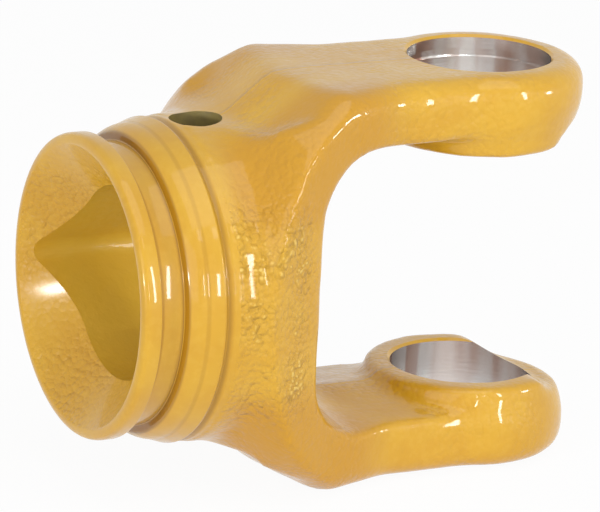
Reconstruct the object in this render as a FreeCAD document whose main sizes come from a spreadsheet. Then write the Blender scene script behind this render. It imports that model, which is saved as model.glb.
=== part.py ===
import FreeCAD, Part
import math
import os
import PartDesign
import Sketcher

# Forged driveline yoke, one piece.
# X runs along the shaft from the mouth to the fork, Z is the axis of the cross
# bores, and Y is the direction in which the forging dies opened.
# The origin is the centre of the mouth, in the plane of its lip.

os.makedirs("parts", exist_ok=True)
doc = FreeCAD.newDocument("yoke")

# Sizes in millimetres and degrees
SIZES = {
    "cross_place": 66.0,
    "cross_bore": 22.0,
    "ring_seat_depth": 3.5,
    "ring_groove_width": 1.3,
    "ring_groove_depth": 0.55,
    "bore_chamfer": 0.5,
    "ear_span": 61.8,
    "ear_gap": 36.0,
    "ear_reach": 16.1,
    "ear_round": 3.5,
    "boss_reach": 15.0,
    "boss_height": 7.0,
    "tip_reach": 14.5,
    "relief_start": 6.4,
    "relief_run": 4.3,
    "relief_depth": 2.7,
    "arm_width": 29.6,
    "arm_start": 46.0,
    "top_width": 33.2,
    "corner_round": 21.0,
    "wall_height": 28.0,
    "wall_width": 50.4,
    "bevel_start": 19.6,
    "bevel_knee": 34.0,
    "bevel_knee_width": 38.0,
    "waist_round": 12.0,
    "throat_place": 33.3,
    "throat_gap": 38.6,
    "throat_corner": 8.0,
    "throat_draft": 9.0,
    "hub_dia": 49.3,
    "mouth_dia": 42.6,
    "mouth_depth": 6.7,
    "lip_round": 0.9,
    "rim_dia": 45.8,
    "rim_width": 2.9,
    "shield_groove_dia": 42.4,
    "shield_groove_width": 4.4,
    "bead_foot_dia": 44.6,
    "bead_width": 2.7,
    "bead_round": 4.0,
    "ring_foot_dia": 47.4,
    "ring_width": 2.4,
    "ring_dia": 49.0,
    "valley_dia": 47.6,
    "valley_drop": 0.6,
    "valley_rise": 1.5,
    "shoulder_place": 19.3,
    "shoulder_knee": 24.6,
    "shoulder_knee_dia": 60.8,
    "shoulder_crest": 29.0,
    "shoulder_crest_dia": 65.6,
    "shoulder_end": 40.0,
    "shoulder_end_dia": 72.0,
    "front_cut_place": 22.6,
    "front_cut_sweep": 2.0,
    "front_cut_width": 25.0,
    "front_cut_draft": 52.0,
    "socket_dia": 29.2,
    "socket_span": 38.9,
    "socket_corner": 2.5,
    "pin_place": 18.3,
    "pin_bore": 8.0,
    "cutter_run": 3.0,
}

sheet = doc.addObject("Spreadsheet::Sheet", "sizes")
for row, (alias, value) in enumerate(SIZES.items(), start=1):
    sheet.set(f"A{row}", alias)
    sheet.set(f"B{row}", str(value))
    sheet.setAlias(f"B{row}", alias)
doc.recompute()


def read(text):
    """Value and sheet formula of a sum such as 'cross_place + ear_reach/2'."""
    if not isinstance(text, str):
        return text, ""
    value = 0.0
    sign = 1
    words = []
    for word in text.split():
        if word in ("+", "-"):
            sign = 1 if word == "+" else -1
            words.append(word)
            continue
        name, _, divisor = word.partition("/")
        number = SIZES[name] if name in SIZES else float(name)
        value += sign * number / float(divisor or 1)
        words.append("sizes." + word if name in SIZES else word)
    return value, " ".join(words)


def negative(text):
    """The same sum with every sign turned over."""
    words = text.split()
    if words[0] not in ("+", "-"):
        words.insert(0, "+")
    turned = {"+": "-", "-": "+"}
    words = [turned.get(word, word) for word in words]
    if words[0] == "+":
        words.pop(0)
    elif words[0] == "-":
        words[0:2] = ["0", "-", words[1]]
    return " ".join(words)


body = doc.addObject("PartDesign::Body", "yoke")
body.Label = "yoke"


def origin_part(role):
    """The body's own origin plane or axis."""
    return [f for f in body.Origin.OriginFeatures if f.Role == role][0]


def new_sketch(name, role):
    sketch = body.newObject("Sketcher::SketchObject", name)
    sketch.AttachmentSupport = (origin_part(role), "")
    sketch.MapMode = "FlatFace"
    return sketch


def pin_point(sketch, geometry, end, place):
    """Hold one point at its formulas. A bare number is only where it starts."""
    for kind, axis, text in (("DistanceX", -2, place[0]), ("DistanceY", -1, place[1])):
        if not isinstance(text, str):
            continue
        value, formula = read(text)
        if text == "0":
            sketch.addConstraint(Sketcher.Constraint("PointOnObject", geometry, end, axis))
            continue
        index = sketch.addConstraint(Sketcher.Constraint(kind, -1, 1, geometry, end, value))
        if "sizes." in formula:
            sketch.setExpression(f"Constraints[{index}]", formula)


def draw(sketch, corners):
    """Closed outline. A corner is (x, y) or (x, y, radius): the radius bends the
    side that leads to the next corner, bulging right, or left with a minus sign.
    A fourth word tells that the arc is more than half a circle."""
    count = len(corners)
    spots = [FreeCAD.Vector(read(c[0])[0], read(c[1])[0], 0) for c in corners]
    ends = []
    for i, corner in enumerate(corners):
        first = spots[i]
        last = spots[(i + 1) % count]
        if len(corner) == 2:
            side = sketch.addGeometry(Part.LineSegment(first, last), False)
            ends.append((side, 1, 2))
            continue
        radius, formula = read(corner[2].lstrip("-"))
        bulge = -1 if corner[2].startswith("-") else 1
        chord = last - first
        across = FreeCAD.Vector(-chord.y, chord.x, 0).normalize()
        rise = math.sqrt(max(radius**2 - chord.Length**2 / 4, 0))
        beyond_half = -1 if len(corner) == 4 else 1
        centre = (first + last) * 0.5 + across * rise * bulge * beyond_half
        angles = [math.atan2(p.y - centre.y, p.x - centre.x) for p in (first, last)]
        if bulge < 0:
            angles.reverse()
        circle = Part.Circle(centre, FreeCAD.Vector(0, 0, 1), radius)
        side = sketch.addGeometry(Part.ArcOfCircle(circle, angles[0], angles[1]), False)
        ends.append((side, 1, 2) if bulge > 0 else (side, 2, 1))
        index = sketch.addConstraint(Sketcher.Constraint("Radius", side, radius))
        sketch.setExpression(f"Constraints[{index}]", formula)
    for i, corner in enumerate(corners):
        side, start, _ = ends[i]
        before, _, finish = ends[i - 1]
        sketch.addConstraint(Sketcher.Constraint("Coincident", before, finish, side, start))
        pin_point(sketch, side, start, corner)


def feature(kind, name, sketch, **settings):
    item = body.newObject("PartDesign::" + kind, name)
    item.Profile = sketch
    for key, value in settings.items():
        setattr(item, key, value)
    sketch.Visibility = False
    return item


def round_edges(name, radius, wanted):
    """Fillet on the edges of the present shape that the test picks."""
    doc.recompute()
    base = body.Tip
    picked = [f"Edge{i}" for i, edge in enumerate(base.Shape.Edges, start=1) if wanted(edge)]
    item = body.newObject("PartDesign::Fillet", name)
    item.Base = (base, picked)
    item.Radius = read(radius)[0]
    item.setExpression("Radius", read(radius)[1])
    doc.recompute()
    return item


# Blank as long as hub and fork together
half_wall = "wall_width/2"
half_top = "top_width/2"
wall_top = "wall_height/2"
half_span = "ear_span/2"
end_view = new_sketch("blank_outline", "YZ_Plane")
draw(end_view, [
    (half_wall, negative(half_span)),
    (half_wall, half_span),
    (negative(half_wall), half_span),
    (negative(half_wall), negative(half_span)),
])
blank = feature("Pad", "blank", end_view)
blank.setExpression("Length", "sizes.cross_place + sizes.ear_reach + sizes.cutter_run")
doc.recompute()

# Plan outline: hub, bevelled walls, arms and round ears
plan = new_sketch("plan_outline", "XY_Plane")
wide = "wall_width/2 + cutter_run"
beyond = wide + " + 5"
above = "ear_span/2 + cutter_run"
past_tip = "cross_place + ear_reach + 9"
half_arm = "arm_width/2"
half_knee = "bevel_knee_width/2"
waist = SIZES["cross_place"] - math.sqrt(SIZES["ear_reach"] ** 2 - SIZES["arm_width"] ** 2 / 4)
draw(plan, [
    ("0 - 5", negative(beyond)),
    (past_tip, negative(beyond)),
    (past_tip, beyond),
    ("0 - 5", beyond),
])
ear_arc = plan.GeometryCount + 5
draw(plan, [
    ("0 - 2", negative(wide)),
    ("bevel_start", negative(wide)),
    ("bevel_start", negative(half_wall)),
    ("bevel_knee", negative(half_knee)),
    ("arm_start", negative(half_arm)),
    (waist, negative(half_arm), "ear_reach", "more than half"),
    (waist, half_arm),
    ("arm_start", half_arm),
    ("bevel_knee", half_knee),
    ("bevel_start", half_wall),
    ("bevel_start", wide),
    ("0 - 2", wide),
])
pin_point(plan, ear_arc, 3, ("cross_place", "0"))
trim = feature("Pocket", "plan_trim", plan, Type="ThroughAll", Midplane=True)


def upright_at(edge, x):
    """An upright edge of the arm's side at this distance."""
    box = edge.BoundBox
    return box.XLength < 0.01 and abs(box.Center.x - x) < 0.01 and box.ZLength > 1


bends = (waist, SIZES["arm_start"], SIZES["bevel_knee"])
round_edges("waist_blend", "waist_round", lambda e: any(upright_at(e, x) for x in bends))


def outer_rim(edge):
    """An edge of the ears' flat outer faces, away from the mouth end."""
    box = edge.BoundBox
    level = abs(abs(box.Center.z) - SIZES["ear_span"] / 2) < 0.01 and box.ZLength < 0.01
    return level and box.XMax > 1


round_edges("ear_edges", "ear_round", outer_rim)

# Round corners along the shoulders, seen along the shaft
section = new_sketch("section_outline", "YZ_Plane")
draw(section, [
    (half_wall, wall_top, "corner_round"),
    (half_top, half_span),
    (half_top, above),
    (wide, above),
    (wide, wall_top),
])
draw(section, [
    (negative(half_top), half_span, "corner_round"),
    (negative(half_wall), wall_top),
    (negative(wide), wall_top),
    (negative(wide), above),
    (negative(half_top), above),
])
draw(section, [
    (negative(half_wall), negative(wall_top), "corner_round"),
    (negative(half_top), negative(half_span)),
    (negative(half_top), negative(above)),
    (negative(wide), negative(above)),
    (negative(wide), negative(wall_top)),
])
draw(section, [
    (half_top, negative(half_span), "corner_round"),
    (half_wall, negative(wall_top)),
    (wide, negative(wall_top)),
    (wide, negative(above)),
    (half_top, negative(above)),
])
feature("Pocket", "section_trim", section, Type="ThroughAll", Reversed=True)
doc.recompute()

# Throat between the arms, opening out from the parting plane with the die draft
throat = new_sketch("throat_outline", "XZ_Plane")
half_gap = "throat_gap/2"
low_gap = "throat_corner - throat_gap/2"
draw(throat, [
    ("throat_place", low_gap, "throat_corner"),
    ("throat_place + throat_corner", negative(half_gap)),
    (past_tip, negative(half_gap)),
    (past_tip, half_gap),
    ("throat_place + throat_corner", half_gap, "throat_corner"),
    ("throat_place", negative(low_gap)),
])
fork_gap = feature("Pocket", "throat", throat, SideType="Two sides", Type="Length", Type2="Length")
for length, taper in (("Length", "TaperAngle"), ("Length2", "TaperAngle2")):
    fork_gap.setExpression(length, "sizes.wall_width / 2 + sizes.cutter_run")
    fork_gap.setExpression(taper, "sizes.throat_draft")
doc.recompute()

# Bosses round the cross bores, raised on the inner sides of the ears
boss = new_sketch("boss_circle", "XY_Plane")
boss.setExpression("AttachmentOffset.Base.z", "sizes.ear_gap / 2")


def circle(sketch, place, radius):
    """A circle on the sketch's level axis."""
    value, formula = read(radius)
    ring = Part.Circle(FreeCAD.Vector(read(place)[0], 0, 0), FreeCAD.Vector(0, 0, 1), value)
    index = sketch.addGeometry(ring, False)
    pin_point(sketch, index, 3, (place, "0"))
    hold = sketch.addConstraint(Sketcher.Constraint("Radius", index, value))
    sketch.setExpression(f"Constraints[{hold}]", formula)


def turn_about(sketch, place):
    """Construction line for a groove turned about an upright axis."""
    x = read(place)[0]
    low, high = FreeCAD.Vector(x, 0, 0), FreeCAD.Vector(x, SIZES["ear_span"], 0)
    index = sketch.addGeometry(Part.LineSegment(low, high), True)
    pin_point(sketch, index, 1, (place, "0"))
    pin_point(sketch, index, 2, (place, "ear_span"))


def mirrored(name, item):
    """The same feature on the other ear."""
    doc.recompute()
    copy = body.newObject("PartDesign::Mirrored", name)
    copy.Originals = [item]
    copy.MirrorPlane = (origin_part("XY_Plane"), [""])
    body.Tip = copy
    return copy


circle(boss, "cross_place", "boss_reach")
upper_boss = feature("Pad", "upper_boss", boss)
upper_boss.setExpression("Length", "sizes.boss_height")
mirrored("lower_boss", upper_boss)


# Ear tips drawn in from their widest line towards the gap
dressing = new_sketch("ear_tip_outline", "XZ_Plane")
draw(dressing, [
    ("cross_place + tip_reach", "ear_gap/2 - cutter_run"),
    ("cross_place + ear_reach + cutter_run", "ear_gap/2 - cutter_run"),
    ("cross_place + ear_reach + cutter_run", "ear_gap/2 + boss_height"),
    ("cross_place + ear_reach", "ear_gap/2 + boss_height"),
    ("cross_place + tip_reach", "ear_gap/2"),
])
turn_about(dressing, "cross_place")
upper_tip_draft = feature("Groove", "upper_tip_draft", dressing, Midplane=True)
upper_tip_draft.ReferenceAxis = (dressing, ["Axis0"])
upper_tip_draft.Angle = 180
mirrored("lower_tip_draft", upper_tip_draft)

# Turned rim, groove for the shield bearing, bead, ring, hub and round shoulders
turned = new_sketch("turned_outline", "XZ_Plane")
clear = "ear_span/2 + cutter_run + 9"
bead_end = "rim_width + shield_groove_width + bead_width"
ring_end = bead_end + " + ring_width"
draw(turned, [
    ("0 - 5", clear),
    ("0 - 5", "rim_dia/2 - lip_round"),
    ("0", "rim_dia/2 - lip_round", "-lip_round"),
    ("lip_round", "rim_dia/2"),
    ("rim_width", "rim_dia/2"),
    ("rim_width", "shield_groove_dia/2"),
    ("rim_width + shield_groove_width", "shield_groove_dia/2"),
    ("rim_width + shield_groove_width", "bead_foot_dia/2", "-bead_round"),
    (bead_end, "ring_foot_dia/2", "-bead_round"),
    (ring_end, "ring_dia/2"),
    (ring_end + " + valley_drop", "valley_dia/2"),
    (ring_end + " + valley_drop + valley_rise", "hub_dia/2"),
    ("shoulder_place", "hub_dia/2"),
    ("shoulder_knee", "shoulder_knee_dia/2"),
    ("shoulder_crest", "shoulder_crest_dia/2"),
    ("shoulder_end", "shoulder_end_dia/2"),
    ("shoulder_end", clear),
])
turning = feature("Groove", "turning", turned)
turning.ReferenceAxis = (turned, ["H_Axis"])
turning.Angle = 360
doc.recompute()

# Front cut of each shoulder, creased on the parting plane
front = new_sketch("front_cut_outline", "XY_Plane")
front.setExpression("AttachmentOffset.Base.z", "sizes.hub_dia / 2")
swept = "front_cut_place + front_cut_sweep"
draw(front, [
    ("pin_place", negative("front_cut_width/2")),
    (swept, negative("front_cut_width/2")),
    ("front_cut_place", "0"),
    (swept, "front_cut_width/2"),
    ("pin_place", "front_cut_width/2"),
])
upper_front = feature("Pocket", "upper_front_cut", front, Type="Length", Reversed=True)
upper_front.setExpression("Length", "sizes.ear_span / 2 - sizes.hub_dia / 2 + sizes.cutter_run")
upper_front.setExpression("TaperAngle", "sizes.front_cut_draft")
mirrored("lower_front_cut", upper_front)

# Mouth: a cone that leads in to the two-lobed socket
mouth = new_sketch("mouth_outline", "XZ_Plane")
draw(mouth, [
    ("0", "0"),
    ("mouth_depth", "0"),
    ("mouth_depth", "socket_dia/2"),
    ("0", "mouth_dia/2"),
])
funnel = feature("Groove", "mouth", mouth)
funnel.ReferenceAxis = (mouth, ["H_Axis"])
funnel.Angle = 360
doc.recompute()

# Socket for the lemon-shaped tube: a round bore with a lobe on each side
socket = new_sketch("socket_outline", "YZ_Plane")
round_radius = SIZES["socket_dia"] / 2
lobe_radius = SIZES["socket_corner"]
lobe_centre = SIZES["socket_span"] / 2 - lobe_radius
lean = math.acos((round_radius - lobe_radius) / lobe_centre)


def on_circle(centre, radius, angle):
    return FreeCAD.Vector(centre + radius * math.cos(angle), radius * math.sin(angle), 0)


axis = FreeCAD.Vector(0, 0, 1)
upper_arc = Part.ArcOfCircle(Part.Circle(FreeCAD.Vector(0, 0, 0), axis, round_radius), lean, math.pi - lean)
lower_arc = Part.ArcOfCircle(Part.Circle(FreeCAD.Vector(0, 0, 0), axis, round_radius), math.pi + lean, -lean)
far_lobe = Part.ArcOfCircle(Part.Circle(FreeCAD.Vector(lobe_centre, 0, 0), axis, lobe_radius), -lean, lean)
near_lobe = Part.ArcOfCircle(Part.Circle(FreeCAD.Vector(-lobe_centre, 0, 0), axis, lobe_radius),
                             math.pi - lean, math.pi + lean)
flanks = []
for way, angle in ((1, lean), (-1, math.pi - lean), (-1, math.pi + lean), (1, -lean)):
    flanks.append(Part.LineSegment(on_circle(0, round_radius, angle),
                                   on_circle(way * lobe_centre, lobe_radius, angle)))
socket.addGeometry([upper_arc, lower_arc, far_lobe, near_lobe] + flanks, False)
for arc, end, flank in ((0, 1, 4), (0, 2, 5), (1, 1, 6), (1, 2, 7)):
    socket.addConstraint(Sketcher.Constraint("Tangent", arc, end, flank, 1))
for arc, end, flank in ((2, 2, 4), (3, 1, 5), (3, 2, 6), (2, 1, 7)):
    socket.addConstraint(Sketcher.Constraint("Tangent", arc, end, flank, 2))
socket.addConstraint(Sketcher.Constraint("Coincident", 0, 3, -1, 1))
socket.addConstraint(Sketcher.Constraint("Coincident", 1, 3, -1, 1))
for arc, size in ((0, "socket_dia/2"), (1, "socket_dia/2"), (2, "socket_corner"), (3, "socket_corner")):
    value, formula = read(size)
    hold = socket.addConstraint(Sketcher.Constraint("Radius", arc, value))
    socket.setExpression(f"Constraints[{hold}]", formula)
pin_point(socket, 2, 3, ("socket_span/2 - socket_corner", "0"))
pin_point(socket, 3, 3, ("socket_corner - socket_span/2", "0"))
feature("Pocket", "socket", socket, Type="ThroughAll", Reversed=True)
doc.recompute()

# Hole for the roll pin, across the hub
pin_hole = new_sketch("pin_circle", "XY_Plane")
circle(pin_hole, "pin_place", "pin_bore/2")
feature("Pocket", "pin_hole", pin_hole, Type="ThroughAll", Midplane=True)
doc.recompute()

# Relief across the inner side of each ear's tip, where the cross is put in
tip = new_sketch("tip_relief_outline", "XZ_Plane")
below = "ear_gap/2 - cutter_run"
draw(tip, [
    ("cross_place + relief_start", below),
    (past_tip, below),
    (past_tip, "ear_gap/2 + relief_depth"),
    ("cross_place + relief_start + relief_run", "ear_gap/2 + relief_depth"),
    ("cross_place + relief_start", "ear_gap/2"),
])
upper_tip = feature("Pocket", "upper_tip_relief", tip, Type="ThroughAll", Midplane=True)
mirrored("lower_tip_relief", upper_tip)

# Cross bores with their snap ring grooves and broken edges
bores = new_sketch("bore_outline", "XZ_Plane")
wall = "cross_place + cross_bore/2"
seat = "ear_span/2 - ring_seat_depth"
draw(bores, [
    ("cross_place", below),
    (wall + " + bore_chamfer", below),
    (wall + " + bore_chamfer", "ear_gap/2"),
    (wall, "ear_gap/2 + bore_chamfer"),
    (wall, seat),
    (wall + " + ring_groove_depth", seat),
    (wall + " + ring_groove_depth", seat + " + ring_groove_width"),
    (wall, seat + " + ring_groove_width"),
    (wall, "ear_span/2 - bore_chamfer"),
    (wall + " + bore_chamfer", "ear_span/2"),
    (wall + " + bore_chamfer", "ear_span/2 + cutter_run"),
    ("cross_place", "ear_span/2 + cutter_run"),
])
turn_about(bores, "cross_place")
upper_bore = feature("Groove", "upper_bore", bores)
upper_bore.ReferenceAxis = (bores, ["Axis0"])
upper_bore.Angle = 360
mirrored("lower_bore", upper_bore)

doc.recompute()
for item in doc.Objects:
    if "Invalid" in item.State or "Error" in item.State:
        raise RuntimeError("feature in error: " + item.Name)
if body.Shape.isNull() or not body.Shape.isValid():
    raise RuntimeError("the yoke's shape is not valid")
if len(body.Shape.Solids) != 1:
    raise RuntimeError("the yoke is not one solid")
body.Shape.exportStep("parts/yoke.step")
print("yoke volume", round(body.Shape.Volume), "box", body.Shape.optimalBoundingBox(False))
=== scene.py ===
import math

import bmesh
import bpy
from bpy.props import FloatProperty, FloatVectorProperty, IntProperty, PointerProperty
from mathutils import Matrix, Vector, noise


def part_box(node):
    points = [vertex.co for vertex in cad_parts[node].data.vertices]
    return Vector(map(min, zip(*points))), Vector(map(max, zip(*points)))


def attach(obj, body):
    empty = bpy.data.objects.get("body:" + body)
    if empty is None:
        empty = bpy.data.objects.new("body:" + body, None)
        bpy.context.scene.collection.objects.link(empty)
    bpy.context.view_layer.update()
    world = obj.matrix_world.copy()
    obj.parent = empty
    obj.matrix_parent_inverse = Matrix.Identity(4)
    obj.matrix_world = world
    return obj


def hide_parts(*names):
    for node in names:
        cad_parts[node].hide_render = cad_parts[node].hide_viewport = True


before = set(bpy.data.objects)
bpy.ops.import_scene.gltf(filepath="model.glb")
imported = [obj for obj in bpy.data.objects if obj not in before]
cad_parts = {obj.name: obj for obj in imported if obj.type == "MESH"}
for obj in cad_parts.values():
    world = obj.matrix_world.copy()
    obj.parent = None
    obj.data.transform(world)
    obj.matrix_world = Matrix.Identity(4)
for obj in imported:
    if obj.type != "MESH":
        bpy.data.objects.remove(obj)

# Forged driveline yoke with a turned nose, bored ears and glossy yellow paint.
# X runs along the shaft from the mouth to the fork and Z along the cross bores.

bl_info = {
    "name": "Forged Yoke",
    "version": (1, 0, 0),
    "blender": (4, 5, 0),
    "location": "3D View > Sidebar > Yoke",
    "description": "Dresses a forged driveline yoke and its studio",
    "category": "Object",
}

NODE = "yoke"
MM = 0.001
WHITE = (1.0, 1.0, 1.0, 1.0)

# How finely the round shapes are turned, and where a bend between faces stays sharp
NOSE_STEPS = 240
BORE_STEPS = 180
UPRIGHT_STEPS = 96
SHARP_ANGLE = math.radians(38)

# Overlaps of pieces and cutters, so that no hidden faces lie on each other
BURIED = 0.3 * MM
SOCKET_WASTE = 0.6 * MM
NOSE_OVERLAP = 4 * MM
PIN_CUT_REACH = 28 * MM
SOCKET_CUT = (-5 * MM, 40 * MM)

# Fillings that close the machined openings while the forged skin is made
SOCKET_FILL_END = 30 * MM
PIN_FILL_START = 13 * MM
PIN_SLACK = 0.2 * MM
BORE_SLACK = 0.05 * MM

# Where the shoulders, the dishes and the feet of the bosses are smoothed once more
SHOULDER_RADIUS = 24 * MM
WEB_END = 31 * MM
ARM_LEVEL = 24 * MM
DISH_LENGTH = 17 * MM
DISH_WIDTH = 15 * MM
DISH_LEVEL = 20 * MM
FOOT_INSIDE = 1.5 * MM
FOOT_OUTSIDE = 4 * MM
FOOT_TOP = 1.2 * MM
FOOT_BOTTOM = 5 * MM

# Where a finish changes over the yoke, as a start and an end
FLANK_LEVEL = (10 * MM, 20 * MM)
FLANK_END = (24 * MM, 31 * MM)
# The shoulder spans below place the painted shade that darkens the shoulders
SHOULDER_ASIDE = (5 * MM, 14 * MM)
SHOULDER_LEVEL = (9 * MM, 17 * MM)
SHOULDER_BEGIN = (14 * MM, 20 * MM)
SHOULDER_FADE = (36 * MM, 50 * MM)
SEAM_ASIDE = (0.1 * MM, 0.6 * MM)
SOCKET_MOUTH = (0.5 * MM, 8 * MM)
# Span over which painted shade fills the socket
SOCKET_DEPTH = (16 * MM, 36 * MM)
# Span over which the painted brown reflections in the bores fade out
BORE_REFLECTED = (57 * MM, 68 * MM)
# Span over which the bores get darker towards their far side
BORE_DARKER = (69 * MM, 76 * MM)

# Depth of the turning marks under paint and of the tool marks in the bores, and how high the
# pebbles stand in the mouth's cone, as a share of their height elsewhere
TURNING_MARKS = 0.03 * MM
TOOL_MARKS = 0.008 * MM
MOUTH_SHARE = 0.35

# Lamps: name, place, what they point at, width and height
MIDDLE = (0.04, 0, 0)
MOUTH = (0, 0, 0)
LAMPS = (
    ("top", (0.05, -0.18, 0.58), MIDDLE, 0.5, 0.5),
    ("key", (0.40, -0.75, 0.20), MIDDLE, 0.06, 0.36),
    ("ear", (0.05, -0.50, 0.50), MIDDLE, 0.10, 0.10),
    ("flank", (0.70, -0.42, 0.12), MIDDLE, 0.09, 0.09),
    ("front", (-0.02, -0.85, 0.16), MIDDLE, 0.025, 0.22),
    ("fill", (-0.60, -0.55, 0.20), MOUTH, 0.6, 0.6),
    ("mouth", (-0.77, -0.32, 0.10), MOUTH, 0.15, 0.08),
)

# Camera: its place and the directions of its right side, its view and its top
CAMERA_PLACE = (-0.33754, -0.7010, 0.2369)
CAMERA_RIGHT = (0.8877, -0.4580, 0.0484)
CAMERA_AHEAD = (0.4518, 0.8457, -0.2842)
CAMERA_UP = (0.0893, 0.2741, 0.9575)

# Floor: its size, its gap under the yoke, the darker tone in its grain and how much of it
# shows as plain white
FLOOR_RADIUS = 3.0
FLOOR_GAP = 0.0002
FLOOR_SHADE = (0.85, 0.85, 0.85, 1.0)
FLOOR_WHITE = 0.95

# Strength of the white surroundings as a light
SKY_LIGHT = 0.37


def length(name, description, default):
    """A size of the yoke in millimetres, kept in metres."""
    return FloatProperty(name=name, description=description, default=default * MM, min=0.0,
                         unit="LENGTH", subtype="DISTANCE", precision=5)


def colour(name, description, default):
    return FloatVectorProperty(name=name, description=description, default=default, size=3,
                               min=0.0, max=1.0, subtype="COLOR")


def share(name, description, default):
    return FloatProperty(name=name, description=description, default=default, min=0.0, max=1.0,
                         subtype="FACTOR")


def passes(name, description, default):
    return IntProperty(name=name, description=description, default=default, min=0, max=60)


def power(name, description, default):
    return FloatProperty(name=name, description=description, default=default, min=0.0, unit="POWER")


class YokeNose(bpy.types.PropertyGroup):
    """Sizes of the turned nose and of the socket in it"""
    mouth_radius: length("Mouth radius", "Radius of the mouth at its lip", 21.3)
    mouth_depth: length("Mouth depth", "Depth of the cone that leads in", 6.7)
    lip_round: length("Lip round", "Rounding of the rim's front edge", 0.9)
    rim_radius: length("Rim radius", "Radius of the rim", 22.9)
    rim_width: length("Rim width", "Width of the rim along the shaft", 2.9)
    groove_radius: length("Groove radius", "Radius at the bottom of the shield groove", 21.2)
    groove_width: length("Groove width", "Width of the shield groove", 4.4)
    bead_foot: length("Bead foot", "Radius at the front of the bead", 22.3)
    bead_width: length("Bead width", "Width of the bead", 2.7)
    bead_round: length("Bead round", "Radius of the bead's crown", 4.0)
    ring_foot: length("Ring foot", "Radius where the ring begins", 23.7)
    ring_width: length("Ring width", "Width of the ring", 2.4)
    ring_radius: length("Ring radius", "Radius at the back of the ring", 24.5)
    valley_radius: length("Valley radius", "Radius at the bottom of the valley", 23.8)
    valley_drop: length("Valley drop", "Length of the valley's front side", 0.6)
    valley_rise: length("Valley rise", "Length of the valley's back side", 1.5)
    hub_radius: length("Hub radius", "Radius of the forged hub", 24.65)
    edge_break: length("Edge break", "Rounding of the turned edges under paint", 0.22)
    socket_radius: length("Socket radius", "Radius of the round part of the socket", 14.6)
    lobe_reach: length("Lobe reach", "Half of the span over the lobes", 19.45)
    lobe_round: length("Lobe round", "Radius in the lobes' corners", 2.5)


class YokeBores(bpy.types.PropertyGroup):
    """Sizes of the cross bores and of the pin hole"""
    cross_place: length("Cross place", "Distance of the cross bores from the mouth", 66.0)
    bore_radius: length("Bore radius", "Radius of the cross bores", 11.0)
    inner_face: length("Inner face", "Half of the gap between the bosses", 18.0)
    outer_face: length("Outer face", "Half of the span over the ears", 30.9)
    cup_face: length("Cup face", "Half of the span over the snap ring seats", 27.4)
    ring_seat: length("Ring seat", "Width of the snap ring groove", 1.3)
    ring_depth: length("Ring depth", "Depth of the snap ring groove", 0.55)
    chamfer: length("Chamfer", "Broken edge of the bores", 0.5)
    relief_start: length("Relief start", "Start of the tip relief past the bores' axis", 6.4)
    relief_run: length("Relief run", "Length of the relief's slope", 4.3)
    relief_depth: length("Relief depth", "Depth of the tip relief", 2.7)
    pin_place: length("Pin place", "Distance of the pin hole from the mouth", 18.3)
    pin_radius: length("Pin radius", "Radius of the pin hole", 4.0)


class YokeForging(bpy.types.PropertyGroup):
    """How soft and how rough the forged skin is"""
    grain: length("Grain", "Size of the mesh that carries the forged form", 0.58)
    softness: passes("Softness", "Smoothing passes that round the forged edges", 9)
    lump_size: length("Lump size", "Spacing of the uneven lumps left by the dies", 5.0)
    lump_height: length("Lump height", "Height of the uneven lumps", 0.16)
    trim_place: length("Trim place", "Where turning ends and the forged skin begins", 14.3)
    shoulder_start: length("Shoulder start", "Where the shoulders leave the hub", 17.0)
    shoulder_end: length("Shoulder end", "Where the shoulders have run out into the arms", 50.0)
    shoulder_passes: passes("Shoulder passes", "Further smoothing of the shoulders", 3)
    dish_passes: passes("Dish passes", "Further smoothing of the dishes before the shoulders", 14)
    boss_reach: length("Boss reach", "Radius of the bosses round the cross bores", 15.0)
    boss_passes: passes("Boss passes", "Further smoothing at the foot of the bosses", 14)


class YokeFinish(bpy.types.PropertyGroup):
    """Colours and gloss of the paint and of the bare steel"""
    paint: colour("Paint", "Main colour of the paint", (0.65, 0.366, 0.026))
    # Deep paint gives the random darker tone and also the painted shade on the shoulders
    paint_deep_and_shade: colour("Deep paint", "Colour of the paint where it lies thick", (0.56, 0.275, 0.012))
    # Thin paint gives the random paler tone and also the painted glints on the pebble tops
    paint_thin_and_glint: colour("Thin paint", "Colour of the paint on high spots", (0.82, 0.56, 0.12))
    # Painted shade: a darker paint colour laid into the turned corners, where shade falls
    corner_shade_paint: colour("Corner paint", "Colour of the paint gathered in the turned corners",
                         (0.42, 0.21, 0.010))
    socket_paint: colour("Socket paint", "Colour of the paint in the socket", (0.66, 0.42, 0.04))
    # Painted shade: a dark olive laid deep in the socket and in the pin hole
    socket_shade: colour("Deep socket", "Colour of the thin paint at the socket's far end",
                        (0.34, 0.27, 0.07))
    # Painted shade: a dark olive stands in for the shade inside the pin hole
    pin_paint: colour("Pin paint", "Colour of the thin paint in the pin hole", (0.22, 0.17, 0.06))
    steel: colour("Steel", "Colour of the bored steel", (0.88, 0.88, 0.87))
    # Painted reflection: brown streaks on the bored steel
    brown_reflection: colour("Stain", "Copper brown stain on the bored steel", (0.46, 0.20, 0.10))
    # Darker colour laid towards the far side of the bores
    far_bore_dark: colour("Soot", "Dark film at the far side of the bores", (0.17, 0.12, 0.10))
    gloss: share("Gloss", "Weight of the clear gloss on the paint", 0.6)
    pebble_height: length("Pebble height", "Height of the pebbles in the forged skin", 0.62)
    seam_height: length("Seam height", "Height of the parting line's trimmed flash", 0.15)


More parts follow.
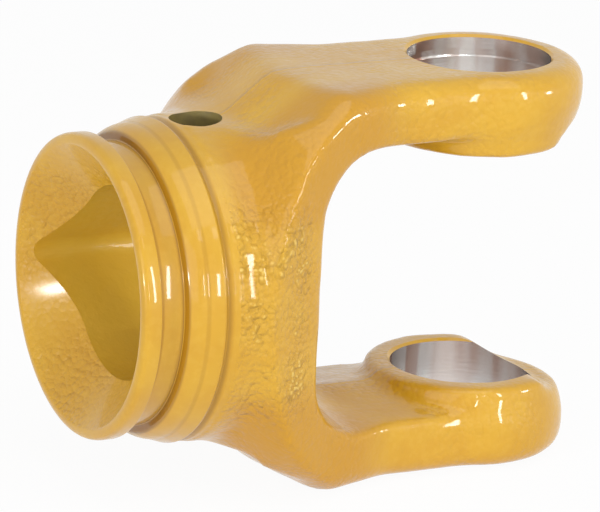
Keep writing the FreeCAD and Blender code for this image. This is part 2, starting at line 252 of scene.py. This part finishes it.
class YokeStudio(bpy.types.PropertyGroup):
    """Floor, lamps and camera"""
    floor_tint: colour("Floor tint", "Colour of the pale floor", (0.92, 0.92, 0.92))
    top_power: power("Top lamp", "Power of the lamp overhead", 1.1)
    key_power: power("Key lamp", "Power of the tall lamp right of the camera", 1.9)
    ear_power: power("Ear lamp", "Power of the small lamp above the camera", 0.1)
    mouth_power: power("Mouth lamp", "Power of the small lamp before the mouth", 2.4)
    flank_power: power("Flank lamp", "Power of the small lamp far to the right", 0.8)
    front_power: power("Front lamp", "Power of the tall thin lamp before the flank", 0.7)
    fill_power: power("Fill lamp", "Power of the broad lamp left of the camera", 1.2)
    focal: FloatProperty(name="Focal length", description="Focal length of the camera in millimetres",
                         default=330.0, min=10.0)


# Mesh helpers

def new_object(name, bm, *materials):
    """Object with the mesh and its materials, in the order of the faces' material numbers."""
    mesh = bpy.data.meshes.new(name)
    bm.to_mesh(mesh)
    bm.free()
    for material in materials:
        mesh.materials.append(material)
    piece = bpy.data.objects.new(name, mesh)
    bpy.context.scene.collection.objects.link(piece)
    return piece


def arc(first, last, radius, steps=6):
    """Points between two profile points on an arc that bulges away from the axis."""
    a, b = Vector(first), Vector(last)
    chord = b - a
    across = Vector((-chord.y, chord.x)).normalized()
    centre = (a + b) / 2 - across * math.sqrt(max(radius ** 2 - chord.length_squared / 4, 0))
    start = math.atan2(a.y - centre.y, a.x - centre.x)
    turn = math.atan2(b.y - centre.y, b.x - centre.x) - start
    turn = (turn + math.pi) % (2 * math.pi) - math.pi
    angles = [start + turn * i / steps for i in range(1, steps)]
    return [(centre.x + radius * math.cos(t), centre.y + radius * math.sin(t)) for t in angles]


def spun(profile, along, out, place, steps, edge_break=0.0):
    """Solid turned from a closed profile of (distance along the axis, radius) points."""
    bm = bmesh.new()
    corners = [bm.verts.new(place + along * x + out * r) for x, r in profile]
    face = bm.faces.new(corners)
    if edge_break:
        off_axis = [v for v in corners if (v.co - place).dot(out) > MM]
        bmesh.ops.bevel(bm, geom=off_axis, offset=edge_break, offset_type="OFFSET", segments=3,
                        profile=0.5, affect="VERTICES", material=-1)
        face = bm.faces[:][0]
    bmesh.ops.delete(bm, geom=[face], context="FACES_ONLY")
    bmesh.ops.spin(bm, geom=bm.verts[:] + bm.edges[:], cent=place, axis=along, dvec=(0, 0, 0),
                   angle=2 * math.pi, steps=steps, use_merge=True, use_duplicate=False)
    bmesh.ops.remove_doubles(bm, verts=bm.verts[:], dist=0.001 * MM)
    bmesh.ops.recalc_face_normals(bm, faces=bm.faces[:])
    return bm


def lemon(size, low, high):
    """Prism of the socket's profile: round above and below, with a lobe on each side."""
    centre = size.lobe_reach - size.lobe_round
    lean = math.acos((size.socket_radius - size.lobe_round) / centre)
    outline = []
    for start, stop, middle, radius, steps in (
            (-lean, lean, centre, size.lobe_round, 8),
            (lean, math.pi - lean, 0.0, size.socket_radius, 40),
            (math.pi - lean, math.pi + lean, -centre, size.lobe_round, 8),
            (math.pi + lean, 2 * math.pi - lean, 0.0, size.socket_radius, 40)):
        for i in range(steps + 1):
            angle = start + (stop - start) * i / steps
            outline.append((middle + radius * math.cos(angle), radius * math.sin(angle)))
    bm = bmesh.new()
    face = bm.faces.new([bm.verts.new((low, y, z)) for y, z in outline])
    grown = bmesh.ops.extrude_face_region(bm, geom=[face])["geom"]
    tops = [v for v in grown if isinstance(v, bmesh.types.BMVert)]
    bmesh.ops.translate(bm, verts=tops, vec=(high - low, 0, 0))
    bmesh.ops.recalc_face_normals(bm, faces=bm.faces[:])
    return bm


def cylinder(radius, low, high, x):
    """Upright cylinder whose axis stands at this distance from the mouth."""
    bm = bmesh.new()
    middle = Matrix.Translation((x, 0, (low + high) / 2))
    bmesh.ops.create_cone(bm, cap_ends=True, segments=UPRIGHT_STEPS, radius1=radius, radius2=radius,
                          depth=high - low, matrix=middle)
    return bm


def cut_off(bm, place, outward):
    """Takes away what lies beyond a plane and closes the cut."""
    cut = bmesh.ops.bisect_plane(bm, geom=bm.verts[:] + bm.edges[:] + bm.faces[:], dist=0.0001 * MM,
                                 plane_co=place, plane_no=outward, clear_outer=True)
    edges = [e for e in cut["geom_cut"] if isinstance(e, bmesh.types.BMEdge)]
    bmesh.ops.holes_fill(bm, edges=edges)


def add(bm, other):
    """Adds the other closed shell to this one."""
    mesh = bpy.data.meshes.new("shell")
    other.to_mesh(mesh)
    other.free()
    bm.from_mesh(mesh)
    bpy.data.meshes.remove(mesh)


def apply_modifiers(piece):
    """Keeps the shape that the piece's modifiers give."""
    shape = piece.evaluated_get(bpy.context.evaluated_depsgraph_get())
    mesh = bpy.data.meshes.new_from_object(shape)
    piece.modifiers.clear()
    piece.data = mesh


def combine(piece, tool, operation):
    """Joins the tool to the piece or cuts it out of the piece."""
    change = piece.modifiers.new(operation.lower(), "BOOLEAN")
    change.operation = operation
    change.object = tool
    change.solver = "EXACT"
    change.material_mode = "TRANSFER"
    apply_modifiers(piece)
    bpy.data.objects.remove(tool)


# Material helpers

def node(tree, kind, links=(), **settings):
    """New node with its settings, its input values and the sockets that feed it."""
    made = tree.nodes.new(kind)
    for key, value in settings.items():
        setattr(made, key, value)
    for socket, source in links:
        if isinstance(source, bpy.types.NodeSocket):
            tree.links.new(source, made.inputs[socket])
        else:
            made.inputs[socket].default_value = source
    return made


def reckon(tree, operation, *values):
    """Result of one operation on numbers."""
    return node(tree, "ShaderNodeMath", enumerate(values), operation=operation).outputs[0]


def reckon_vector(tree, operation, *values):
    """Results of one operation on vectors."""
    return node(tree, "ShaderNodeVectorMath", enumerate(values), operation=operation).outputs


def blend_colours(tree, factor, first, second):
    return node(tree, "ShaderNodeMix", [(0, factor), (6, first), (7, second)], data_type="RGBA").outputs[2]


def remap(tree, value, span, result=(0.0, 1.0)):
    """Moves a value from one span to another, softly and within its ends."""
    links = [("Value", value), ("From Min", span[0]), ("From Max", span[1]),
             ("To Min", result[0]), ("To Max", result[1])]
    return node(tree, "ShaderNodeMapRange", links, interpolation_type="SMOOTHSTEP").outputs["Result"]


def noise_texture(tree, place, scale, detail, roughness=0.5):
    links = [("Vector", place), ("Scale", scale), ("Detail", detail), ("Roughness", roughness)]
    return node(tree, "ShaderNodeTexNoise", links).outputs


def stretched(tree, place, scale):
    """Coordinates stretched along the axes."""
    return node(tree, "ShaderNodeMapping", [("Vector", place), ("Scale", scale)]).outputs[0]


def parts(tree, place):
    """X, Y and Z of the coordinates."""
    return node(tree, "ShaderNodeSeparateXYZ", [("Vector", place)]).outputs


def relief(tree, height, distance, under=None):
    """Normal of a surface with this relief, over the relief that lies under it."""
    links = [("Height", height), ("Strength", 1.0), ("Distance", distance)]
    if under is not None:
        links.append(("Normal", under))
    return node(tree, "ShaderNodeBump", links).outputs[0]


def opaque(rgb):
    return (rgb[0], rgb[1], rgb[2], 1.0)


def group_tree(name, masks, **settings):
    """Node group that takes coordinates and settings, with its inputs and its masks."""
    tree = bpy.data.node_groups.new(name, "ShaderNodeTree")
    tree.interface.new_socket(name="Vector", in_out="INPUT", socket_type="NodeSocketVector")
    for socket, value in settings.items():
        made = tree.interface.new_socket(name=socket, in_out="INPUT", socket_type="NodeSocketFloat")
        made.default_value = value
    for socket in masks:
        tree.interface.new_socket(name=socket, in_out="OUTPUT", socket_type="NodeSocketFloat")
    return tree, tree.nodes.new("NodeGroupInput").outputs, tree.nodes.new("NodeGroupOutput").inputs


def effect(tree, group, place):
    """Outputs of a shared effect placed in this material."""
    return node(tree, "ShaderNodeGroup", [("Vector", place)], node_tree=group).outputs


def new_material(name):
    material = bpy.data.materials.new(name)
    material.use_nodes = True
    tree = material.node_tree
    return material, tree, tree.nodes["Principled BSDF"]


def object_place(tree):
    return node(tree, "ShaderNodeTexCoord").outputs["Object"]


# Shared effects

def mottle_group():
    """Slow and quick change of tone over a surface."""
    tree, given, result = group_tree("mottle", ("Broad", "Fine"), Scale=90.0)
    broad = noise_texture(tree, given["Vector"], given["Scale"], 3.0, 0.55)
    closer = reckon(tree, "MULTIPLY", given["Scale"], 9.0)
    fine = noise_texture(tree, given["Vector"], closer, 2.0)
    tree.links.new(remap(tree, broad["Fac"], (0.3, 0.7)), result["Broad"])
    tree.links.new(remap(tree, fine["Fac"], (0.3, 0.7)), result["Fine"])
    return tree


def pebble_group():
    """Height of the pebbled skin that scale and the dies leave on a forging."""
    tree, given, result = group_tree("pebbles", ("Height",), Spacing=1150.0)
    place = given["Vector"]
    warp = noise_texture(tree, place, 260.0, 2.0)
    bent = reckon_vector(tree, "MULTIPLY", warp["Color"], (0.0011, 0.0011, 0.0011))
    moved = reckon_vector(tree, "ADD", place, bent[0])
    cells = node(tree, "ShaderNodeTexVoronoi", [("Vector", moved[0]), ("Scale", given["Spacing"]),
                 ("Smoothness", 0.35)], feature="SMOOTH_F1").outputs
    grain = noise_texture(tree, place, 1000.0, 2.0)
    patch = noise_texture(tree, place, 75.0, 1.0)
    shown = remap(tree, patch["Fac"], (0.38, 0.62), (0.30, 1.0))
    domed = reckon(tree, "POWER", cells["Distance"], 2.0)
    sunk = reckon(tree, "MULTIPLY", domed, -1.3)
    both = reckon(tree, "ADD", sunk, grain["Fac"])
    tree.links.new(reckon(tree, "MULTIPLY", both, shown), result["Height"])
    return tree


def flank_group():
    """Where the skin is roughest, on the flat flanks, and where the shoulders get painted shade."""
    tree, given, result = group_tree("flanks", ("Share", "Thick"))
    at = parts(tree, given["Vector"])
    aside = reckon(tree, "ABSOLUTE", at["Y"])
    level = reckon(tree, "ABSOLUTE", at["Z"])
    flank = reckon(tree, "MULTIPLY", remap(tree, level, FLANK_LEVEL, (1.0, 0.0)),
                   remap(tree, at["X"], FLANK_END, (1.0, 0.0)))
    tree.links.new(remap(tree, flank, (0.0, 1.0), (0.2, 1.0)), result["Share"])
    shoulder_shade = remap(tree, aside, SHOULDER_ASIDE)
    for limit in (remap(tree, level, SHOULDER_LEVEL), remap(tree, at["X"], SHOULDER_BEGIN),
                  remap(tree, at["X"], SHOULDER_FADE, (1.0, 0.0))):
        shoulder_shade = reckon(tree, "MULTIPLY", shoulder_shade, limit)
    tree.links.new(shoulder_shade, result["Thick"])
    return tree


def corner_shade_group(nose):
    """Painted shade in the turned corners: behind the rim, on both sides of the bead and in the valley."""
    tree, given, result = group_tree("corners", ("Mask",))
    along = parts(tree, given["Vector"])["X"]
    groove_end = nose.rim_width + nose.groove_width
    bead_end = groove_end + nose.bead_width
    ring_end = bead_end + nose.ring_width
    mask = 0.0
    for place, reach, weight in (
            (nose.rim_width + 0.8 * MM, 0.5 * MM, 0.75),
            (groove_end, 0.45 * MM, 1.0),
            (bead_end, 0.5 * MM, 0.35),
            (ring_end + 0.7 * MM, 1.0 * MM, 0.7)):
        off = reckon(tree, "ABSOLUTE", reckon(tree, "SUBTRACT", along, place))
        band = remap(tree, off, (0.25 * reach, reach), (weight, 0.0))
        mask = reckon(tree, "MAXIMUM", band, mask)
    outward = reckon_vector(tree, "MULTIPLY", given["Vector"], (0, 1, 1))
    radius = reckon_vector(tree, "LENGTH", outward[0])["Value"]
    outside = remap(tree, radius, (nose.groove_radius - 0.7 * MM, nose.groove_radius - 0.3 * MM))
    tree.links.new(reckon(tree, "MULTIPLY", mask, outside), result["Mask"])
    return tree


# Finishes

def paint_material(name, groups, finish, skin):
    """Glossy yellow paint over a forged, a rough turned or a fine turned skin."""
    material, tree, shader = new_material(name)
    place = object_place(tree)
    tone = effect(tree, groups["mottle"], place)
    deeper = remap(tree, tone["Broad"], (0.0, 1.0), (0.0, 0.45))
    thinner = remap(tree, tone["Fine"], (0.4, 1.0), (0.0, 0.06))
    base = blend_colours(tree, deeper, opaque(finish.paint), opaque(finish.paint_deep_and_shade))
    base = blend_colours(tree, thinner, base, opaque(finish.paint_thin_and_glint))
    if skin == "fine":
        # Painted shade darkens the turned corners behind the rim, beside the bead and in the valley
        corner_shade_mask = effect(tree, groups["corners"], place)["Mask"]
        base = blend_colours(tree, corner_shade_mask, base, opaque(finish.corner_shade_paint))
        marks = noise_texture(tree, stretched(tree, place, (3.0, 0.25, 0.25)), 330.0, 2.0)
        normal = relief(tree, marks["Fac"], TURNING_MARKS)
    elif skin == "rough":
        pebbles = effect(tree, groups["pebbles"], place)["Height"]
        normal = relief(tree, pebbles, MOUTH_SHARE * finish.pebble_height)
    else:
        pebbles = effect(tree, groups["pebbles"], place)["Height"]
        flank = effect(tree, groups["flanks"], place)
        height = reckon(tree, "MULTIPLY", pebbles, flank["Share"])
        # Painted highlight: the pebble tops on the flanks are lightened as glints
        painted_glints = remap(tree, height, (0.25, 0.5), (0.0, 0.85))
        base = blend_colours(tree, painted_glints, base, opaque(finish.paint_thin_and_glint))
        # Painted shade: the shoulders are darkened towards the deep paint colour
        shoulder_shade = remap(tree, flank["Thick"], (0.0, 1.0), (0.0, 0.9))
        base = blend_colours(tree, shoulder_shade, base, opaque(finish.paint_deep_and_shade))
        aside = reckon(tree, "ABSOLUTE", parts(tree, place)["Y"])
        seam = remap(tree, aside, SEAM_ASIDE, (1.0, 0.0))
        normal = relief(tree, seam, finish.seam_height, relief(tree, height, finish.pebble_height))
    tree.links.new(base, shader.inputs["Base Color"])
    tree.links.new(remap(tree, tone["Fine"], (0.0, 1.0), (0.30, 0.42)), shader.inputs["Roughness"])
    shader.inputs["Specular IOR Level"].default_value = 0.18
    shader.inputs["Coat Weight"].default_value = finish.gloss
    shader.inputs["Coat Roughness"].default_value = 0.14 if skin == "rough" else 0.06
    tree.links.new(normal, shader.inputs["Normal"])
    return material


def socket_material(groups, finish):
    """Thin paint in the socket, greener past the mouth, with painted shade that makes it duller the deeper
    it lies.
    """
    material, tree, shader = new_material("socket_paint")
    place = object_place(tree)
    tone = effect(tree, groups["mottle"], place)
    along = parts(tree, place)["X"]
    inside = remap(tree, along, SOCKET_MOUTH, (0.2, 1.0))
    patchy = remap(tree, tone["Broad"], (0.0, 1.0), (0.6, 1.0))
    # Painted shade, darker the deeper into the socket
    depth_shade = reckon(tree, "MULTIPLY", remap(tree, along, SOCKET_DEPTH), patchy)
    base = blend_colours(tree, inside, opaque(finish.paint), opaque(finish.socket_paint))
    base = blend_colours(tree, depth_shade, base, opaque(finish.socket_shade))
    tree.links.new(base, shader.inputs["Base Color"])
    tree.links.new(remap(tree, tone["Fine"], (0.0, 1.0), (0.38, 0.55)), shader.inputs["Roughness"])
    shader.inputs["Coat Weight"].default_value = 0.15
    tree.links.new(relief(tree, tone["Fine"], TURNING_MARKS), shader.inputs["Normal"])
    return material


def pin_material(groups, finish):
    """Dark, dull paint in the pin hole, as painted shade in the recess."""
    material, tree, shader = new_material("pin_paint")
    tone = effect(tree, groups["mottle"], object_place(tree))
    worn = remap(tree, tone["Fine"], (0.0, 1.0), (0.0, 0.3))
    base = blend_colours(tree, worn, opaque(finish.pin_paint), opaque(finish.socket_shade))
    tree.links.new(base, shader.inputs["Base Color"])
    shader.inputs["Roughness"].default_value = 0.5
    return material


def steel_material(finish):
    """Bored steel with fine tool marks, painted brown reflections that run down, and darker towards the far
    side.
    """
    material, tree, shader = new_material("bored_steel")
    place = object_place(tree)
    along = parts(tree, place)["X"]
    runs = noise_texture(tree, stretched(tree, place, (1.0, 1.0, 0.10)), 330.0, 1.5)
    # Painted reflection: brown streaks, strongest on the near side of the bores
    reflection_share = reckon(tree, "MULTIPLY", remap(tree, runs["Fac"], (0.42, 0.58)),
                     remap(tree, along, BORE_REFLECTED, (0.95, 0.25)))
    base = blend_colours(tree, reflection_share, opaque(finish.steel), opaque(finish.brown_reflection))
    # Darker towards the far side of the bores
    far_darkening = remap(tree, along, BORE_DARKER, (0.0, 0.5))
    base = blend_colours(tree, far_darkening, base, opaque(finish.far_bore_dark))
    tree.links.new(base, shader.inputs["Base Color"])
    shader.inputs["Metallic"].default_value = 1.0
    shader.inputs["Roughness"].default_value = 0.24
    cuts = noise_texture(tree, stretched(tree, place, (0.1, 0.1, 1.0)), 1900.0, 1.0)
    tree.links.new(relief(tree, cuts["Fac"], TOOL_MARKS), shader.inputs["Normal"])
    return material


# Parts of the yoke

def relief_plug(size, radius):
    """Filling for the inner end of a cross bore, cut by the slope of the tip relief."""
    low, level = size.inner_face, size.inner_face + size.relief_depth
    bm = cylinder(radius, low, level + MM, size.cross_place)
    start = Vector((size.cross_place + size.relief_start, 0, low))
    slope = Vector((size.relief_depth, 0, -size.relief_run)).normalized()
    cut_off(bm, start, slope)
    return bm


def ear_filling(nose, bores):
    """Closed shells that fill one cross bore and one end of the pin hole."""
    radius = bores.bore_radius + bores.ring_depth + BORE_SLACK
    filling = cylinder(radius, bores.inner_face + bores.relief_depth, bores.outer_face, bores.cross_place)
    add(filling, relief_plug(bores, radius))
    add(filling, cylinder(bores.pin_radius + PIN_SLACK, PIN_FILL_START, nose.hub_radius - BURIED,
                          bores.pin_place))
    return filling


def on_shoulder(place, forging):
    """Whether a point lies on the outer side of a shoulder, clear of the throat."""
    outward = Vector((place.y, place.z)).length
    return (forging.shoulder_start < place.x < forging.shoulder_end and outward > SHOULDER_RADIUS
            and (place.x < WEB_END or abs(place.z) > ARM_LEVEL))


def at_dish(place, forging):
    """Whether a point lies at the dish where a shoulder is cut back on the parting plane."""
    return (forging.shoulder_start < place.x < forging.shoulder_start + DISH_LENGTH
            and abs(place.y) < DISH_WIDTH and abs(place.z) > DISH_LEVEL)


def at_boss_foot(place, bores, forging):
    """Whether a point lies where a boss rises from the inner side of its arm."""
    reach = (Vector((place.x, place.y)) - Vector((bores.cross_place, 0))).length
    level = abs(place.z)
    return (forging.boss_reach - FOOT_INSIDE < reach < forging.boss_reach + FOOT_OUTSIDE
            and bores.inner_face + FOOT_TOP < level < bores.inner_face + FOOT_BOTTOM)


def soften(bm, bores, forging):
    """Rounds the forged edges, then the shoulders, the dishes and the feet of the bosses once more."""
    shoulders = [v for v in bm.verts if on_shoulder(v.co, forging)]
    dishes = [v for v in bm.verts if at_dish(v.co, forging)]
    feet = [v for v in bm.verts if at_boss_foot(v.co, bores, forging)]
    for verts, count in ((bm.verts[:], forging.softness), (shoulders, forging.shoulder_passes),
                         (dishes, forging.dish_passes), (feet, forging.boss_passes)):
        for _ in range(count):
            bmesh.ops.smooth_vert(bm, verts=verts, factor=0.5, use_axis_x=True, use_axis_y=True,
                                  use_axis_z=True)


def forged_blank(nose, bores, forging):
    """The forging before any machining, with soft edges and an uneven skin."""
    bm = bmesh.new()
    bm.from_mesh(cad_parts[NODE].data)
    bmesh.ops.remove_doubles(bm, verts=bm.verts[:], dist=0.0005 * MM)
    cut_off(bm, (forging.trim_place, 0, 0), (-1, 0, 0))
    add(bm, lemon(nose, forging.trim_place, SOCKET_FILL_END))
    for side in (1, -1):
        filling = ear_filling(nose, bores)
        if side < 0:
            bmesh.ops.transform(filling, matrix=Matrix.Scale(-1, 4, (0, 0, 1)), verts=filling.verts[:])
            bmesh.ops.reverse_faces(filling, faces=filling.faces[:])
        add(bm, filling)
    piece = new_object("yoke_body", bm)
    shell = piece.modifiers.new("shell", "REMESH")
    shell.mode = "VOXEL"
    shell.voxel_size = forging.grain
    apply_modifiers(piece)
    bm = bmesh.new()
    bm.from_mesh(piece.data)
    soften(bm, bores, forging)
    bm.normal_update()
    for vert in bm.verts:
        lump = noise.noise(vert.co / forging.lump_size) * 0.5 + 0.5
        vert.co -= vert.normal * forging.lump_height * lump
    bm.to_mesh(piece.data)
    bm.free()
    return piece


def turned_nose(size, back):
    """Lip, rim, shield groove, bead, ring and valley, turned in one with the mouth's cone."""
    after_groove = size.rim_width + size.groove_width
    after_bead = after_groove + size.bead_width
    after_ring = after_bead + size.ring_width
    floor = size.socket_radius - SOCKET_WASTE
    slope = (size.mouth_radius - size.socket_radius) / size.mouth_depth
    foot = (after_groove, size.bead_foot)
    crown = (after_bead, size.ring_foot)
    buried = size.hub_radius - BURIED
    rise = (buried - size.valley_radius) / (size.hub_radius - size.valley_radius) * size.valley_rise
    lip = ((0.0, size.rim_radius - size.lip_round), (size.lip_round, size.rim_radius))
    profile = [lip[0]] + arc(lip[0], lip[1], size.lip_round, 2) + [lip[1]]
    profile += [(size.rim_width, size.rim_radius), (size.rim_width, size.groove_radius),
                (after_groove, size.groove_radius), foot]
    profile += arc(foot, crown, size.bead_round)
    profile += [crown, (after_ring, size.ring_radius), (after_ring + size.valley_drop, size.valley_radius),
                (after_ring + size.valley_drop + rise, buried), (back, buried), (back, floor),
                (size.mouth_depth + SOCKET_WASTE / slope, floor), (0.0, size.mouth_radius)]
    bm = spun(profile, Vector((1, 0, 0)), Vector((0, 0, 1)), Vector((0, 0, 0)), NOSE_STEPS, size.edge_break)
    for face in bm.faces:
        middle = face.calc_center_median()
        radius = Vector((middle.y, middle.z)).length
        in_mouth = radius < size.mouth_radius and middle.x < size.mouth_depth + MM
        face.material_index = 1 if in_mouth and abs(face.normal.x) > 0.5 else 0
    return bm


def cross_bore(size, side):
    """Cutter for the cross bore of the upper or the lower ear, with its snap ring groove."""
    r, wide = size.bore_radius, size.bore_radius + size.chamfer
    low, high = size.inner_face, size.outer_face
    seat, seat_end = size.cup_face, size.cup_face + size.ring_seat
    profile = [(low - MM, 0.0), (low - MM, wide), (low, wide), (low + size.chamfer, r),
               (seat, r), (seat, r + size.ring_depth), (seat_end, r + size.ring_depth), (seat_end, r),
               (high - size.chamfer, r), (high, wide), (high + MM, wide), (high + MM, 0.0)]
    axis = Vector((size.cross_place, 0, 0))
    bm = spun(profile, Vector((0, 0, side)), Vector((1, 0, 0)), axis, BORE_STEPS)
    for face in bm.faces:
        level = abs(face.calc_center_median().z)
        painted = level > high - size.chamfer or level < low + size.chamfer
        face.material_index = 1 if painted else 0
    return bm


class YOKE_OT_body(bpy.types.Operator):
    """Build the forged body with its turned nose, bored ears, socket and pin hole"""
    bl_idname = "yoke.body"
    bl_label = "Yoke Body"

    def execute(self, context):
        scene = context.scene
        nose, bores, forging = scene.yoke_nose, scene.yoke_bores, scene.yoke_forging
        finish = scene.yoke_finish
        groups = {"mottle": mottle_group(), "pebbles": pebble_group(), "corners": corner_shade_group(nose),
                  "flanks": flank_group()}
        forged = paint_material("forged_paint", groups, finish, "forged")
        turned = paint_material("turned_paint", groups, finish, "fine")
        cone = paint_material("mouth_paint", groups, finish, "rough")
        inner = socket_material(groups, finish)
        steel = steel_material(finish)

        piece = forged_blank(nose, bores, forging)
        piece.data.materials.clear()
        piece.data.materials.append(forged)
        front = turned_nose(nose, forging.trim_place + NOSE_OVERLAP)
        combine(piece, new_object("turned_nose", front, turned, cone), "UNION")
        socket = lemon(nose, *SOCKET_CUT)
        combine(piece, new_object("socket_cut", socket, inner), "DIFFERENCE")
        pin = cylinder(bores.pin_radius, -PIN_CUT_REACH, PIN_CUT_REACH, bores.pin_place)
        combine(piece, new_object("pin_cut", pin, pin_material(groups, finish)), "DIFFERENCE")
        for side in (1, -1):
            bore = cross_bore(bores, side)
            combine(piece, new_object("bore_cut", bore, steel, turned), "DIFFERENCE")
        piece.data.name = "yoke_body"
        piece.data.shade_smooth()
        piece.data.set_sharp_from_angle(angle=SHARP_ANGLE)
        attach(piece, "root")
        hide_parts(NODE)
        return {"FINISHED"}


# Studio

def seen_rays(tree):
    """One for rays that show the background: straight, mirrored or through glass."""
    path = node(tree, "ShaderNodeLightPath").outputs
    seen = reckon(tree, "MAXIMUM", path["Is Camera Ray"], path["Is Glossy Ray"])
    return reckon(tree, "MAXIMUM", seen, path["Is Transmission Ray"])


def pale_floor(studio):
    """Pale floor just under the yoke, almost plain white where it is seen."""
    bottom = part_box(NODE)[0].z
    bm = bmesh.new()
    bmesh.ops.create_circle(bm, cap_ends=True, segments=96, radius=FLOOR_RADIUS,
                            matrix=Matrix.Translation((0, 0, bottom - FLOOR_GAP)))
    material, tree, shader = new_material("pale_floor")
    shader.inputs["Roughness"].default_value = 0.8
    shader.inputs["Specular IOR Level"].default_value = 0.1
    grain = noise_texture(tree, object_place(tree), 18.0, 4.0)
    darker = remap(tree, grain["Fac"], (0.3, 0.7), (0.0, 0.04))
    base = blend_colours(tree, darker, opaque(studio.floor_tint), FLOOR_SHADE)
    tree.links.new(base, shader.inputs["Base Color"])
    glow = node(tree, "ShaderNodeEmission", [("Color", WHITE), ("Strength", 1.0)])
    white = reckon(tree, "MULTIPLY", seen_rays(tree), FLOOR_WHITE)
    mix = node(tree, "ShaderNodeMixShader", [(0, white), (1, shader.outputs[0]), (2, glow.outputs[0])])
    tree.links.new(mix.outputs[0], tree.nodes["Material Output"].inputs["Surface"])
    return new_object("floor", bm, material)


def white_surroundings():
    """World that is plain white where it is seen and weaker as a light."""
    world = bpy.data.worlds.new("studio")
    world.use_nodes = True
    tree = world.node_tree
    backdrop = tree.nodes["Background"]
    backdrop.inputs["Color"].default_value = WHITE
    strength = remap(tree, seen_rays(tree), (0.0, 1.0), (SKY_LIGHT, 1.0))
    tree.links.new(strength, backdrop.inputs["Strength"])
    return world


def lamp(name, place, target, watts, width, height):
    data = bpy.data.lights.new(name, "AREA")
    data.shape = "RECTANGLE"
    data.size, data.size_y = width, height
    data.energy = watts
    light = bpy.data.objects.new(name, data)
    light.location = place
    light.rotation_euler = (Vector(target) - Vector(place)).to_track_quat("-Z", "Y").to_euler()
    bpy.context.scene.collection.objects.link(light)


def new_camera(studio):
    data = bpy.data.cameras.new("camera")
    data.sensor_fit = "HORIZONTAL"
    data.sensor_width = 36.0
    data.lens = studio.focal
    data.clip_start, data.clip_end = 0.05, 20.0
    camera = bpy.data.objects.new("camera", data)
    turn = Matrix((Vector(CAMERA_RIGHT), Vector(CAMERA_UP), -Vector(CAMERA_AHEAD))).transposed().to_4x4()
    camera.matrix_world = Matrix.Translation(CAMERA_PLACE) @ turn
    bpy.context.scene.collection.objects.link(camera)
    return camera


class YOKE_OT_stage(bpy.types.Operator):
    """Set up the pale floor, the soft lamps, the white background and the camera"""
    bl_idname = "yoke.stage"
    bl_label = "Stage"

    def execute(self, context):
        scene = context.scene
        studio = scene.yoke_studio
        floor = pale_floor(studio)
        scene.world = white_surroundings()
        for name, place, target, width, height in LAMPS:
            lamp(name + "_lamp", place, target, getattr(studio, name + "_power"), width, height)
        scene.camera = new_camera(studio)
        scene.view_settings.view_transform = "Standard"
        return {"FINISHED"}


class YOKE_PT_panel(bpy.types.Panel):
    """Sizes, finishes and steps of the yoke"""
    bl_idname = "YOKE_PT_panel"
    bl_label = "Forged Yoke"
    bl_space_type = "VIEW_3D"
    bl_region_type = "UI"
    bl_category = "Yoke"

    def draw(self, context):
        for holder, _ in GROUPS:
            group = getattr(context.scene, holder)
            box = self.layout.box()
            for name in group.__annotations__:
                box.prop(group, name)
        for step in STEPS:
            self.layout.operator(step.bl_idname)


GROUPS = (("yoke_nose", YokeNose), ("yoke_bores", YokeBores), ("yoke_forging", YokeForging),
          ("yoke_finish", YokeFinish), ("yoke_studio", YokeStudio))
STEPS = (YOKE_OT_stage, YOKE_OT_body)
CLASSES = tuple(kind for _, kind in GROUPS) + STEPS + (YOKE_PT_panel,)


def register():
    for kind in CLASSES:
        bpy.utils.register_class(kind)
    for name, kind in GROUPS:
        setattr(bpy.types.Scene, name, PointerProperty(type=kind))


def unregister():
    for name, _ in GROUPS:
        delattr(bpy.types.Scene, name)
    for kind in reversed(CLASSES):
        bpy.utils.unregister_class(kind)


def main():
    register()
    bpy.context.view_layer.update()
    bpy.ops.yoke.stage()
    bpy.ops.yoke.body()


if __name__ == "__main__":
    main()
